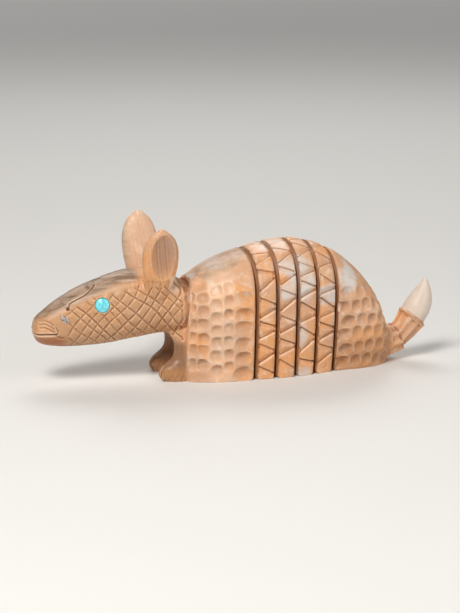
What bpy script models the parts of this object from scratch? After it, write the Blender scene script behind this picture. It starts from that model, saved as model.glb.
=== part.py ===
"""Armadillo ground from one block of stone, with two inlaid eyes.

Metres, +Z up. The animal stands on z = 0, faces -X, and y = 0 is its plane of symmetry, so its left side
is at -Y. The origin is under the middle of its overall length.
"""

import math

import bmesh
import bpy
from mathutils import Matrix, Vector

MM = 0.001

# Overall lengths: from the nose to the shell's front face, of the shell, and from there to the tail's bulge.
HEAD_REACH = 31.4 * MM
SHELL_LENGTH = 48.6 * MM
TAIL_REACH = 10.8 * MM
NOSE_X = -(HEAD_REACH + SHELL_LENGTH + TAIL_REACH) / 2
SHELL_FRONT = NOSE_X + HEAD_REACH
SHELL_REAR = SHELL_FRONT + SHELL_LENGTH

# Shell.
SHELL_HEIGHT = 29.0 * MM
SHELL_WIDTH = 22.0 * MM
HEM_WIDTH = 19.4 * MM
CROWN_ROUNDNESS = 2.2  # exponent of the superellipse over the crown
SHOULDER = 0.66  # share of a section's height that its side wall takes
FRONT_LEAN = 1.7 * MM  # how far the front face leans back at its top
FRONT_EDGE_ROUND = 1.2 * MM

# Saw cuts across the shell, which leave the bands between them.
CUT_COUNT = 5
CUT_WIDTH = 0.6 * MM
CUT_DEPTH = 1.2 * MM
CUT_PITCH = 4.63 * MM
FIRST_CUT = 15.2 * MM  # behind the shell's front face

# Head and neck.
JAW_HEIGHT = 8.35 * MM  # under the jaw, above the ground
HEAD_HEIGHT = 15.85 * MM
HEAD_WIDTH = 13.6 * MM
HEAD_ROUNDNESS = 2.3
CHEEK_HEIGHT = 0.45  # share of a section's height at which it is widest
NECK_GAP = 0.8 * MM  # cut round the neck where it enters the shell
NECK_GAP_DEPTH = 1.6 * MM

# Mouth.
MOUTH_LENGTH = 4.3 * MM
MOUTH_WIDTH = 0.5 * MM
MOUTH_DEPTH = 0.9 * MM
MOUTH_HEIGHT = 11.6 * MM

# Eyes.
EYE_DIAMETER = 3.0 * MM
EYE_SOCKET_DEPTH = 1.8 * MM
EYE_DOME = 0.45 * MM
EYE_CEMENT = 0.1 * MM  # film of cement between the peg and its socket
EYE_SETBACK = 14.0 * MM  # behind the nose
EYE_HEIGHT = 17.65 * MM

# Ears. The right one is cut a little taller, and further forward.
EAR_WIDTH = 8.4 * MM
EAR_THICKNESS = 3.4 * MM
EAR_SPLAY = 0.20  # sideways lean, as a slope
EAR_SPACING = 10.4 * MM  # between the middles of the roots
EAR_ROOT_HEIGHT = 18.6 * MM
LEFT_EAR_TIP = 33.9 * MM
RIGHT_EAR_TIP = 35.3 * MM
LEFT_EAR_AHEAD = 5.1 * MM  # ahead of the shell's front face
RIGHT_EAR_AHEAD = 6.25 * MM
EAR_HOLLOW_DEPTH = 1.1 * MM
EAR_HOLLOW_FOOT = 4.0 * MM  # above the root
EAR_HOLLOW_BACK = 0.6 * MM  # behind the middle of the ear
EAR_RIM = 0.8 * MM

# Forefeet.
FOOT_LENGTH = 5.1 * MM  # ahead of the shell's front face
FOOT_WIDTH = 4.8 * MM
FOOT_SPACING = 9.0 * MM
LEG_HEIGHT = 13.0 * MM
TOE_COUNT = 3
TOE_CUT_WIDTH = 0.5 * MM
TOE_CUT_LENGTH = 1.6 * MM

# Tail.
TAIL_HEIGHT = 18.1 * MM
TAIL_DIAMETER = 6.9 * MM

# Outlines as shares of the sizes above.
# Shell: distance behind the front face, crest height, half width, half width at the hem.
SHELL_OUTLINE = (
    (0.00, 0.735, 0.74, 0.77),
    (0.08, 0.800, 0.86, 0.90),
    (0.17, 0.868, 0.95, 1.00),
    (0.25, 0.914, 0.98, 1.00),
    (0.34, 0.954, 1.00, 1.00),
    (0.46, 0.997, 1.00, 0.99),
    (0.54, 1.000, 0.98, 0.96),
    (0.64, 0.962, 0.91, 0.82),
    (0.73, 0.893, 0.83, 0.72),
    (0.80, 0.806, 0.78, 0.69),
    (0.86, 0.706, 0.73, 0.65),
    (0.915, 0.580, 0.65, 0.56),
    (0.95, 0.460, 0.56, 0.44),
    (0.977, 0.330, 0.43, 0.31),
    (0.994, 0.200, 0.27, 0.18),
    (1.00, 0.100, 0.13, 0.09),
)
# Head: distance behind the nose, underside and top as shares of the head's height, half width.
HEAD_OUTLINE = (
    (0.000, 0.170, 0.300, 0.32),
    (0.013, 0.085, 0.391, 0.44),
    (0.057, 0.027, 0.470, 0.53),
    (0.127, -0.003, 0.577, 0.60),
    (0.268, -0.022, 0.744, 0.71),
    (0.404, -0.018, 0.859, 0.79),
    (0.545, 0.004, 0.942, 0.90),
    (0.650, 0.038, 0.987, 0.97),
    (0.777, 0.070, 1.000, 1.00),
    (0.873, 0.095, 0.945, 0.96),
    (0.945, 0.083, 0.905, 1.02),
    (1.005, 0.100, 0.840, 0.96),
    (1.080, 0.154, 0.756, 0.82),
    (1.160, 0.218, 0.667, 0.72),
)
# Ear: distance up from the root, half width.
EAR_OUTLINE = ((0.0, 0.70), (0.2, 0.76), (0.45, 0.93), (0.67, 0.94), (0.82, 0.78), (0.93, 0.50), (1.0, 0.12))
HOLLOW_OUTLINE = ((0.0, 0.1), (0.1, 0.52), (0.3, 0.86), (0.52, 1.0), (0.74, 0.88), (0.92, 0.5), (1.0, 0.08))
# Foreleg: distance up from the ground, reach ahead of the shell, half width, place across.
LEG_OUTLINE = (
    (0.00, 0.84, 0.92, 1.00),
    (0.10, 1.00, 1.00, 1.00),
    (0.20, 0.92, 1.00, 1.00),
    (0.36, 0.44, 0.86, 1.00),
    (0.52, 0.30, 0.80, 0.97),
    (0.70, 0.40, 0.85, 0.88),
    (0.84, 0.62, 0.90, 0.72),
    (1.00, 0.70, 0.80, 0.50),
)
# Tail lengths, each from start to end: place behind the shell, height, tilt of the axis in degrees, diameter.
TAIL_LENGTHS = (
    ((-0.32, 0.235, 8, 1.22), (0.10, 0.250, 14, 1.02), (0.245, 0.285, 25, 1.00)),
    ((0.20, 0.270, 25, 0.80), (0.42, 0.390, 42, 0.88), (0.580, 0.525, 52, 1.02)),
    ((0.55, 0.505, 54, 0.88), (0.70, 0.660, 64, 0.88), (0.80, 0.810, 73, 0.64), (0.86, 0.995, 80, 0.10)),
)

RING_SIDES = 24
SHELL_STATIONS = 30
HEAD_STATIONS = 26
WALL_STEPS = 6
CROWN_STEPS = 9
GROUND = -5.0 * MM  # cutters and cores reach below the ground to here
EDGE_STEPS = 4
NECK_START = 0.9  # share of the head's reach behind which it is neck
NOSE_CROWDING = 1.4  # above 1, the head's rings crowd towards the nose
EYE_SIDES = 32
DOME_STEPS = 5
EAR_SIDES = 20
EAR_STEPS = 12
LEG_STEPS = 14
LEG_ROUNDNESS = 2.6
TAIL_SIDES = 20
TAIL_STEPS = 7


def clear_scene():
    for old in list(bpy.data.objects):
        bpy.data.objects.remove(old, do_unlink=True)


def new_collection(name):
    collection = bpy.data.collections.new(name)
    bpy.context.scene.collection.children.link(collection)
    return collection


def make_material(name, colour, roughness):
    material = bpy.data.materials.new(name)
    material.use_nodes = True
    shader = material.node_tree.nodes["Principled BSDF"]
    shader.inputs["Base Color"].default_value = (*colour, 1.0)
    shader.inputs["Roughness"].default_value = roughness
    shader.inputs["Metallic"].default_value = 0.0
    return material


def smooth_value(outline, column, at):
    """A smooth curve through one column of an outline, read at a place along its first column."""
    places = [row[0] for row in outline]
    at = min(max(at, places[0]), places[-1])
    index = max(i for i in range(len(places) - 1) if places[i] <= at)

    def slope(i):
        low, high = max(i - 1, 0), min(i + 1, len(places) - 1)
        return (outline[high][column] - outline[low][column]) / (places[high] - places[low])

    span = places[index + 1] - places[index]
    t = (at - places[index]) / span
    start, end = outline[index][column], outline[index + 1][column]
    return (
        (2 * t**3 - 3 * t**2 + 1) * start
        + (t**3 - 2 * t**2 + t) * span * slope(index)
        + (3 * t**2 - 2 * t**3) * end
        + (t**3 - t**2) * span * slope(index + 1)
    )


def superellipse(angle, power):
    """Cosine and sine of a superellipse, each with its own sign."""
    cosine, sine = math.cos(angle), math.sin(angle)
    return (
        math.copysign(abs(cosine) ** (2 / power), cosine),
        math.copysign(abs(sine) ** (2 / power), sine),
    )


def loft(name, rings, collection):
    """A closed solid through rings of equal point counts, with a flat cap at each end."""
    mesh = bpy.data.meshes.new(name)
    shape = bmesh.new()
    loops = [[shape.verts.new(point) for point in ring] for ring in rings]
    for near, far in zip(loops, loops[1:]):
        for i in range(len(near)):
            shape.faces.new((near[i - 1], near[i], far[i], far[i - 1]))
    shape.faces.new(loops[0])
    shape.faces.new(loops[-1])
    bmesh.ops.recalc_face_normals(shape, faces=shape.faces)
    shape.to_mesh(mesh)
    shape.free()
    result = bpy.data.objects.new(name, mesh)
    collection.objects.link(result)
    return result


def as_helper(obj):
    obj.hide_render = True
    obj.display_type = "WIRE"
    return obj


def combine(target, other, operation):
    """Adds a Boolean to the target. The other object becomes a hidden helper."""
    boolean = target.modifiers.new(other.name, "BOOLEAN")
    boolean.operation = operation
    boolean.solver = "EXACT"
    boolean.object = as_helper(other)


def move_to(obj, collection):
    for old in list(obj.users_collection):
        old.objects.unlink(obj)
    collection.objects.link(obj)
    return obj


def block(name, low, high, collection):
    size = Vector(high) - Vector(low)
    bpy.ops.mesh.primitive_cube_add(size=1, location=(Vector(low) + Vector(high)) / 2)
    cube = bpy.context.object
    cube.name = name
    cube.data.transform(Matrix.Diagonal((*size, 1)))
    return move_to(cube, collection)


def front_face_x(z):
    """The shield's front face: it leans back towards the top, and rounds under at the ground."""
    lean = FRONT_LEAN * (max(z, 0) / SHELL_HEIGHT / SHELL_OUTLINE[0][1]) ** 1.5
    rounding = FRONT_EDGE_ROUND * max(0.0, 1 - z / (2 * FRONT_EDGE_ROUND)) ** 2 * 0.5
    return lean + rounding


def shell_section(along, inset, floor):
    """Half of the shell's cross-section, from the hem up to the crest, as (half width, height) pairs."""
    height = smooth_value(SHELL_OUTLINE, 1, along) * SHELL_HEIGHT - inset
    side = smooth_value(SHELL_OUTLINE, 2, along) * SHELL_WIDTH / 2 - inset
    hem = smooth_value(SHELL_OUTLINE, 3, along) * HEM_WIDTH / 2 - inset
    side, hem = max(side, 0.2 * MM), max(hem, 0.2 * MM)
    shoulder = SHOULDER * height
    points = []
    for step in range(WALL_STEPS):
        share = step / WALL_STEPS
        flare = math.sin(math.pi / 2 * share)
        points.append((hem + (side - hem) * flare, floor + (shoulder - floor) * share))
    for step in range(CROWN_STEPS + 1):
        across, up = superellipse(math.pi / 2 * step / CROWN_STEPS, CROWN_ROUNDNESS)
        points.append((side * across, shoulder + (height - shoulder) * up))
    return points


def shell_ring(along, inset, floor):
    half = shell_section(along, inset, floor)
    half[-1] = (0.0, half[-1][1])
    fade = max(0.0, 1 - along * 4) ** 2
    ring = []
    for side, points in ((1, half), (-1, half[-2::-1])):
        for y, z in points:
            x = SHELL_FRONT + along * SHELL_LENGTH + fade * front_face_x(z)
            ring.append(Vector((x, side * y, z)))
    return ring


def make_shell(name, inset, floor, collection):
    """The whole shell. Its front edge is rounded by rings that step outwards as they go back."""
    rings = []
    for step in range(EDGE_STEPS):
        angle = math.pi / 2 * step / EDGE_STEPS
        behind = FRONT_EDGE_ROUND * (1 - math.cos(angle))
        inwards = FRONT_EDGE_ROUND * (1 - math.sin(angle))
        rings.append(shell_ring(behind / SHELL_LENGTH, inset + inwards, floor))
    first = FRONT_EDGE_ROUND / SHELL_LENGTH
    for step in range(SHELL_STATIONS + 1):
        share = step / SHELL_STATIONS
        spread = 0.35 * share + 0.65 * math.sin(math.pi / 2 * share)
        rings.append(shell_ring(first + (1 - first) * spread, inset, floor))
    return loft(name, rings, collection)


def cut_slot(target, name, low, high, core, collection):
    """A slot of even depth all round: a block less the core that the saw stops at."""
    slot = block(name, low, high, collection)
    combine(slot, core, "DIFFERENCE")
    combine(target, slot, "DIFFERENCE")


def cut_bands(shell, collection):
    core = make_shell("band_core", CUT_DEPTH, GROUND, collection)
    for number in range(CUT_COUNT):
        x = SHELL_FRONT + FIRST_CUT + number * CUT_PITCH
        low = (x - CUT_WIDTH / 2, -SHELL_WIDTH, -CUT_DEPTH)
        high = (x + CUT_WIDTH / 2, SHELL_WIDTH, SHELL_HEIGHT * 1.2)
        cut_slot(shell, f"band_cut_{number + 1}", low, high, core, collection)


def head_section(along, grow=0.0):
    """Middle height, room below and above it, and half width of the head at a place behind the nose."""
    bottom = JAW_HEIGHT + smooth_value(HEAD_OUTLINE, 1, along) * HEAD_HEIGHT - grow
    top = JAW_HEIGHT + smooth_value(HEAD_OUTLINE, 2, along) * HEAD_HEIGHT + grow
    side = smooth_value(HEAD_OUTLINE, 3, along) * HEAD_WIDTH / 2 + grow
    middle = bottom + CHEEK_HEIGHT * (top - bottom)
    return middle, middle - bottom, top - middle, side


def head_point(along, angle, grow=0.0):
    middle, below, above, side = head_section(along, grow)
    across, up = superellipse(angle, HEAD_ROUNDNESS)
    return Vector((NOSE_X + along * HEAD_REACH, side * across, middle + (above if up > 0 else below) * up))


def make_head(name, first, last, grow, collection):
    rings = []
    for step in range(HEAD_STATIONS + 1):
        share = step / HEAD_STATIONS
        along = first + (last - first) * share**NOSE_CROWDING
        rings.append([head_point(along, math.tau * i / RING_SIDES, grow) for i in range(RING_SIDES)])
    return loft(name, rings, collection)


def cut_mouth(head, collection):
    core = make_head("mouth_core", 0.0, HEAD_OUTLINE[-1][0], -MOUTH_DEPTH, collection)
    core.location.x = MOUTH_DEPTH
    low = (NOSE_X - MOUTH_DEPTH, -HEAD_WIDTH, MOUTH_HEIGHT - MOUTH_WIDTH / 2)
    high = (NOSE_X + MOUTH_LENGTH, HEAD_WIDTH, MOUTH_HEIGHT + MOUTH_WIDTH / 2)
    cut_slot(head, "mouth_cut", low, high, core, collection)


def eye_frame(side):
    """Where an eye sits on the head, as a matrix whose Z axis points out of the stone."""
    along = EYE_SETBACK / HEAD_REACH
    middle, _, above, _ = head_section(along)
    angle = math.asin(((EYE_HEIGHT - middle) / above) ** (HEAD_ROUNDNESS / 2))
    place = head_point(along, angle)
    forward = head_point(along + 0.02, angle) - head_point(along - 0.02, angle)
    upward = head_point(along, angle + 0.05) - head_point(along, angle - 0.05)
    outward = upward.normalized().cross(forward.normalized())
    place.y *= side
    outward.y *= side
    turn = outward.to_track_quat("Z", "Y").to_matrix().to_4x4()
    return Matrix.Translation(place) @ turn


def turned(name, profile, collection):
    """A turned solid: a profile of (radius, height) pairs, outer side from top to bottom, about Z."""
    mesh = bpy.data.meshes.new(name)
    mesh.from_pydata([(x, 0, z) for x, z in profile], [(i, i + 1) for i in range(len(profile) - 1)], [])
    result = bpy.data.objects.new(name, mesh)
    collection.objects.link(result)
    screw = result.modifiers.new("turn", "SCREW")
    screw.steps = screw.render_steps = EYE_SIDES
    screw.use_merge_vertices = True
    screw.merge_threshold = 0.01 * MM
    return result


def make_eye(name, side, parts, material):
    """A peg with a low dome that stands just proud of the stone."""
    radius = EYE_DIAMETER / 2
    foot = -EYE_SOCKET_DEPTH + EYE_CEMENT
    profile = []
    for step in range(DOME_STEPS + 1):
        angle = math.pi / 2 * step / DOME_STEPS
        profile.append((radius * math.sin(angle), EYE_DOME * math.cos(angle)))
    profile += [(radius, foot), (0.0, foot)]
    eye = turned(name, profile, parts)
    eye.matrix_world = eye_frame(side)
    eye.data.materials.append(material)
    eye.data.shade_smooth()
    return eye


def cut_socket(head, side, collection):
    radius = EYE_DIAMETER / 2 + EYE_CEMENT
    top, bottom = EYE_DIAMETER, -EYE_SOCKET_DEPTH
    profile = [(0.0, top), (radius, top), (radius, bottom), (0.0, bottom)]
    drill = turned("left_drill" if side < 0 else "right_drill", profile, collection)
    drill.matrix_world = eye_frame(side)
    combine(head, drill, "DIFFERENCE")


def make_ear(name, side, ahead, tip, collection):
    """A thick leaf that leans outwards, with a hollow ground into its outer face."""
    length = tip - EAR_ROOT_HEIGHT

    def middle(up, out, back):
        y = EAR_SPACING / 2 + EAR_SPLAY * up * length + out
        return Vector((SHELL_FRONT - ahead + back, side * y, EAR_ROOT_HEIGHT + up * length))

    def leaf(leaf_name, outline, width, thickness, first, last, out=0.0, back=0.0):
        rings = []
        for step in range(EAR_STEPS + 1):
            up = first + (last - first) * step / EAR_STEPS
            share = smooth_value(outline, 1, step / EAR_STEPS)
            ring = []
            for i in range(EAR_SIDES):
                across, through = superellipse(math.tau * i / EAR_SIDES, 2.0)
                offset = Vector((across * width / 2 * share, side * through * thickness / 2 * share**0.5, 0))
                ring.append(middle(up, out, back) + offset)
            rings.append(ring)
        return loft(leaf_name, rings, collection)

    ear = leaf(name, EAR_OUTLINE, EAR_WIDTH, EAR_THICKNESS, 0.0, 1.0)
    first, last = EAR_HOLLOW_FOOT / length, 1 - EAR_RIM / length
    width = EAR_WIDTH - 2 * EAR_RIM - EAR_HOLLOW_BACK
    size = (width, 2 * EAR_HOLLOW_DEPTH, first, last)
    hollow = leaf(name + "_hollow", HOLLOW_OUTLINE, *size, out=EAR_THICKNESS / 2, back=EAR_HOLLOW_BACK)
    combine(ear, hollow, "DIFFERENCE")
    return ear


def make_foreleg(name, side, collection):
    rings = []
    for step in range(LEG_STEPS + 1):
        up = step / LEG_STEPS
        front = SHELL_FRONT - smooth_value(LEG_OUTLINE, 1, up) * FOOT_LENGTH
        back = SHELL_FRONT + FOOT_LENGTH
        wide = smooth_value(LEG_OUTLINE, 2, up) * FOOT_WIDTH / 2
        across = smooth_value(LEG_OUTLINE, 3, up) * FOOT_SPACING / 2
        centre = Vector(((front + back) / 2, side * across, up * LEG_HEIGHT))
        ring = []
        for i in range(RING_SIDES):
            forward, sideways = superellipse(math.tau * i / RING_SIDES, LEG_ROUNDNESS)
            ring.append(centre + Vector((forward * (back - front) / 2, sideways * wide, 0)))
        rings.append(ring)
    leg = loft(name, rings, collection)
    for number in range(1, TOE_COUNT):
        y = side * FOOT_SPACING / 2 + FOOT_WIDTH * (number / TOE_COUNT - 0.5)
        low = (SHELL_FRONT - FOOT_LENGTH * 1.2, y - TOE_CUT_WIDTH / 2, GROUND)
        high = (SHELL_FRONT - FOOT_LENGTH + TOE_CUT_LENGTH, y + TOE_CUT_WIDTH / 2, LEG_HEIGHT * 0.3)
        combine(leg, block(f"{name}_toe_cut_{number}", low, high, collection), "DIFFERENCE")
    return leg


def make_tail_length(name, outline, collection):
    """One length of the tail, swept along its bend."""
    rows = [(i / (len(outline) - 1), *row) for i, row in enumerate(outline)]
    rings = []
    for step in range(TAIL_STEPS + 1):
        at = step / TAIL_STEPS
        x, z, tilt, size = (smooth_value(rows, column, at) for column in (1, 2, 3, 4))
        centre = Vector((SHELL_REAR + x * TAIL_REACH, 0, z * TAIL_HEIGHT))
        turn = Matrix.Rotation(-math.radians(tilt), 3, "Y")
        ring = []
        for i in range(TAIL_SIDES):
            angle = math.tau * i / TAIL_SIDES
            spoke = Vector((0, math.cos(angle), math.sin(angle))) * size * TAIL_DIAMETER / 2
            ring.append(centre + turn @ spoke)
        rings.append(ring)
    return loft(name, rings, collection)


def cut_neck_gap(shell, collection):
    """The ring that is cleared round the neck, in the shield's front face."""
    ring = make_head("neck_gap", NECK_START, HEAD_OUTLINE[-1][0], NECK_GAP, collection)
    behind = SHELL_FRONT + FRONT_LEAN + NECK_GAP_DEPTH
    far_corner = (behind + SHELL_LENGTH, SHELL_WIDTH, SHELL_HEIGHT)
    stop = block("neck_gap_stop", (behind, -SHELL_WIDTH, 0), far_corner, collection)
    combine(ring, stop, "DIFFERENCE")
    combine(shell, ring, "DIFFERENCE")


def make_carving(parts, helpers, material):
    shell = make_shell("stone_carving", 0.0, 0.0, parts)
    cut_bands(shell, helpers)
    cut_neck_gap(shell, helpers)
    head = make_head("head_and_neck", 0.0, HEAD_OUTLINE[-1][0], 0.0, helpers)
    cut_mouth(head, helpers)
    combine(shell, head, "UNION")
    ears = ((-1, "left", LEFT_EAR_AHEAD, LEFT_EAR_TIP), (1, "right", RIGHT_EAR_AHEAD, RIGHT_EAR_TIP))
    for side, word, ahead, tip in ears:
        combine(shell, make_ear(f"{word}_ear", side, ahead, tip, helpers), "UNION")
        combine(shell, make_foreleg(f"{word}_foreleg", side, helpers), "UNION")
    for number, outline in enumerate(TAIL_LENGTHS):
        combine(shell, make_tail_length(f"tail_length_{number + 1}", outline, helpers), "UNION")
    for side in (-1, 1):
        cut_socket(shell, side, helpers)
    shell.data.materials.append(material)
    shell.data.shade_smooth()
    shell.data.set_sharp_from_angle(angle=math.radians(35))
    return shell


def main():
    clear_scene()
    parts = new_collection("armadillo")
    helpers = new_collection("cutters_and_blanks")
    stone = make_material("banded_stone", (0.71, 0.42, 0.24), 0.42)
    turquoise = make_material("turquoise", (0.10, 0.66, 0.74), 0.25)
    make_carving(parts, helpers, stone)
    for side, name in ((-1, "left_eye"), (1, "right_eye")):
        make_eye(name, side, parts, turquoise)


main()
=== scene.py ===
# %% [markdown]
# # A stone armadillo with turquoise eyes
# The figure is ground from one block of veined, peach-coloured stone. Only its two eyes are separate: short
# pegs of turquoise, cemented into drilled sockets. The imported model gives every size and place. This lesson
# takes that plain block and works its surface as the carver did: saw cuts, burr dimples, knife lines,
# polish.

import math

import bpy
import numpy as np
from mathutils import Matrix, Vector
from mathutils.bvhtree import BVHTree


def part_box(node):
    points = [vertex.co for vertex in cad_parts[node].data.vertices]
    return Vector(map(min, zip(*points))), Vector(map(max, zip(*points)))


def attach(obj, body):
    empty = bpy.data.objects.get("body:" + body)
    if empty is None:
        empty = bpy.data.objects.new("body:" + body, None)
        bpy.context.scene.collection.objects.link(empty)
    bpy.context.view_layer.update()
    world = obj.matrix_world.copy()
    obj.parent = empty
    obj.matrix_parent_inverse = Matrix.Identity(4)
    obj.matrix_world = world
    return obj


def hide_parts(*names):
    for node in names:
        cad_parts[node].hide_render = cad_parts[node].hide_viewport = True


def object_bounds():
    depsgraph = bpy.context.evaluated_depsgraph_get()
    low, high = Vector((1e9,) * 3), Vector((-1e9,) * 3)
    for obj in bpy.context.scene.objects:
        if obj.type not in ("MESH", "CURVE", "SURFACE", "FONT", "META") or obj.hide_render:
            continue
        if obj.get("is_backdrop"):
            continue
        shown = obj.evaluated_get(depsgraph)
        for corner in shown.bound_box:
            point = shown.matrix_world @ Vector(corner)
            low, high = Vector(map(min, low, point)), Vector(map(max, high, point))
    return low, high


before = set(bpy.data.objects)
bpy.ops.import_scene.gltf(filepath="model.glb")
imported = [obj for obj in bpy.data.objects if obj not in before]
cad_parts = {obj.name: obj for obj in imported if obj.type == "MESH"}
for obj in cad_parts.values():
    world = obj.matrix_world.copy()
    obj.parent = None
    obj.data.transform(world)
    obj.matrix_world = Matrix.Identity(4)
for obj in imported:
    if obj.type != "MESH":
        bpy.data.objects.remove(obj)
cad_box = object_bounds()
MM = 0.001
print("nodes:", sorted(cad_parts))

# %% [markdown]
# ## Two habits
# An operator acts on everything that is selected, so each step first selects one object only. A modifier is
# added, set and applied at once, so that the next step works on real vertices.

# %% Selecting one object, and applying a modifier


def only(piece):
    bpy.ops.object.select_all(action="DESELECT")
    piece.select_set(True)
    bpy.context.view_layer.objects.active = piece


def edit_all(piece):
    only(piece)
    bpy.ops.object.mode_set(mode="EDIT")
    bpy.ops.mesh.select_all(action="SELECT")


def apply_modifier(piece, kind, **settings):
    only(piece)
    modifier = piece.modifiers.new(kind.title(), kind)
    for name, value in settings.items():
        setattr(modifier, name, value)
    bpy.ops.object.modifier_apply(modifier=modifier.name)


# %% [markdown]
# ## The blank
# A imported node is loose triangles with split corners, and it is never changed. A copy of it is merged into
# one closed skin: this is the rough block, sawn to shape, that all the fine work starts from.

# %% Copy the node and merge its corners
MERGE = 0.002 * MM


def copy_of_node(name):
    piece = bpy.data.objects.new(name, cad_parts["stone_carving"].data.copy())
    piece.data.materials.clear()
    bpy.context.scene.collection.objects.link(piece)
    edit_all(piece)
    bpy.ops.mesh.remove_doubles(threshold=MERGE)
    bpy.ops.mesh.normals_make_consistent(inside=False)
    bpy.ops.object.mode_set(mode="OBJECT")
    return piece


blank = copy_of_node("blank")
skin = BVHTree.FromObject(blank, bpy.context.evaluated_depsgraph_get())
print("blank:", len(blank.data.vertices), "corners")

# %% [markdown]
# ## Where the saw went
# The shell stands behind its front face, and five cuts of a thin diamond disc cross it. They leave four
# narrow bands between a front and a rear shield. Rays cast at the blank find its surface, so the marks
# below always lie on the stone, whatever its size.

# %% Measure the blank
low, high = (Vector(corner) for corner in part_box("stone_carving"))
EYE = [(Vector(a) + Vector(b)) / 2 for a, b in (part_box("left_eye"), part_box("right_eye"))]
SHELL_FRONT = low.x + 31.4 * MM
CUT_WIDTH = 0.6 * MM
cuts = [SHELL_FRONT + 15.2 * MM + 4.63 * MM * number for number in range(5)]
TAIL_ROOT = high.x - 11.5 * MM
MOUTH_HEIGHT = 11.6 * MM
LEFT_TIP, RIGHT_TIP = 33.9 * MM, 35.3 * MM
FAR = 0.2


def hit(start, direction):
    """The point where a ray from outside meets the blank."""
    direction = Vector(direction).normalized()
    return skin.ray_cast(Vector(start) + direction * FAR, -direction)[0]


def section_arc(x, side, steps=90, middle=0.011):
    """Points down one side of the shell in the plane at x, from crest to hem, and their arc length."""
    points = []
    for step in range(steps + 1):
        angle = math.radians(138) * step / steps
        place = hit((x, 0, middle), (0, side * math.sin(angle), math.cos(angle)))
        if place is None or place.z < 0.2 * MM:
            break
        points.append(place)
    lengths = np.cumsum([0] + [(b - a).length for a, b in zip(points, points[1:])])
    return points, lengths


crest = hit((cuts[2], 0, 0), (0, 0, 1)).z
print(f"cuts at {[round(x / MM, 1) for x in cuts]} mm, crest {crest / MM:.1f} mm")

# %% [markdown]
# ## Cutting the work into six lengths
# The stone is one piece, but one mesh fine enough for knife lines would be far too heavy. The skin is
# therefore divided where nobody can see it: in the middle of each saw cut. Bisect takes off what lies ahead
# and behind, and fills the hole. Neighbours overlap by a hair inside the cut, so no gap shows.

# %% Divide the blank at the saw cuts
OVERLAP = 0.08 * MM


def trim(piece, x, keep_ahead):
    edit_all(piece)
    plane = {"plane_co": (x, 0, 0), "plane_no": (1, 0, 0)}
    bpy.ops.mesh.bisect(**plane, use_fill=True, clear_inner=not keep_ahead, clear_outer=keep_ahead)
    bpy.ops.object.mode_set(mode="OBJECT")


def length_of_stone(name, start, end):
    piece = copy_of_node(name)
    if start is not None:
        trim(piece, start - OVERLAP, keep_ahead=False)
    if end is not None:
        trim(piece, end + OVERLAP, keep_ahead=True)
    return piece


head_end = length_of_stone("head_and_front_shield", None, cuts[0])
bands = [length_of_stone(f"band_{i + 1}", cuts[i], cuts[i + 1]) for i in range(4)]
tail_end = length_of_stone("rear_shield_and_tail", cuts[4], None)
stone_pieces = [head_end, *bands, tail_end]
print("lengths:", [piece.name for piece in stone_pieces])

# %% [markdown]
# ## An even, fine skin
# Displacement needs evenly spaced vertices. A voxel remesh gives them. The block's flat facets are then
# rubbed away by a Smooth modifier, as sandpaper would, but not next to a saw cut, a socket or the ground,
# where the edge has to stay crisp: a vertex group says how freely each place may move.

# %% Vertex data in and out
VOXEL = 0.125 * MM
LEVELS = 50


def points_of(piece):
    flat = np.empty(len(piece.data.vertices) * 3, np.float32)
    piece.data.vertices.foreach_get("co", flat)
    return flat.reshape(-1, 3).astype(float)


def normals_of(piece):
    flat = np.empty(len(piece.data.vertices) * 3, np.float32)
    piece.data.vertices.foreach_get("normal", flat)
    return flat.reshape(-1, 3).astype(float)


def paint_group(piece, name, weights):
    """Writes an array of weights into a vertex group, in fifty even steps."""
    group = piece.vertex_groups.new(name=name)
    steps = np.rint(np.clip(weights, 0, 1) * LEVELS).astype(int)
    for level in range(1, LEVELS + 1):
        chosen = np.flatnonzero(steps == level)
        if len(chosen):
            group.add(chosen.tolist(), level / LEVELS, "REPLACE")
    return group.name


def ramp(value, start, end):
    """0 at start, 1 at end, eased between them. It takes arrays."""
    share = np.clip((value - start) / (end - start), 0, 1)
    return share * share * (3 - 2 * share)


# %% Remesh and rub smooth


def away_from_edges(points):
    """How freely a place may be rubbed: 0 beside a cut, a socket, the mouth or the ground."""
    free = ramp(points[:, 2], 0.35 * MM, 1.2 * MM)
    for x in cuts:
        free *= ramp(np.abs(points[:, 0] - x), 0.42 * MM, 0.9 * MM)
    for eye in EYE:
        free *= ramp(np.linalg.norm(points - np.array(eye), axis=1), 2.0 * MM, 2.8 * MM)
    in_mouth = (points[:, 0] < low.x + 4.0 * MM) & (np.abs(points[:, 2] - MOUTH_HEIGHT) < 0.8 * MM)
    free[in_mouth] *= 0.2
    rim = ramp(np.abs(points[:, 0] - SHELL_FRONT - 0.8 * MM), 1.4 * MM, 2.6 * MM)
    foot = ramp(points[:, 2], 3.0 * MM, 5.0 * MM)
    ahead = points[:, 0] < SHELL_FRONT + 0.5 * MM
    free *= np.where(ahead, np.maximum(foot, 0.12), 1) * np.maximum(rim, 0.12)
    tip = np.where(points[:, 1] < 0, LEFT_TIP, RIGHT_TIP)
    ear = 0.22 + 0.78 * ramp(points[:, 2], tip - 2.4 * MM, tip - 1.0 * MM)
    free *= np.where(ahead & (points[:, 2] > 22.5 * MM), ear, 1)
    return free * (1 - 0.9 * ramp(points[:, 0], TAIL_ROOT, TAIL_ROOT + 1.0 * MM))


def make_skin(piece, rubs):
    apply_modifier(piece, "REMESH", mode="VOXEL", voxel_size=VOXEL)
    group = paint_group(piece, "free", away_from_edges(points_of(piece)))
    scale = 1.0
    apply_modifier(piece, "SMOOTH", factor=0.5, iterations=max(1, int(rubs * scale)), vertex_group=group)
    apply_modifier(piece, "SMOOTH", factor=0.5, iterations=2)


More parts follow.
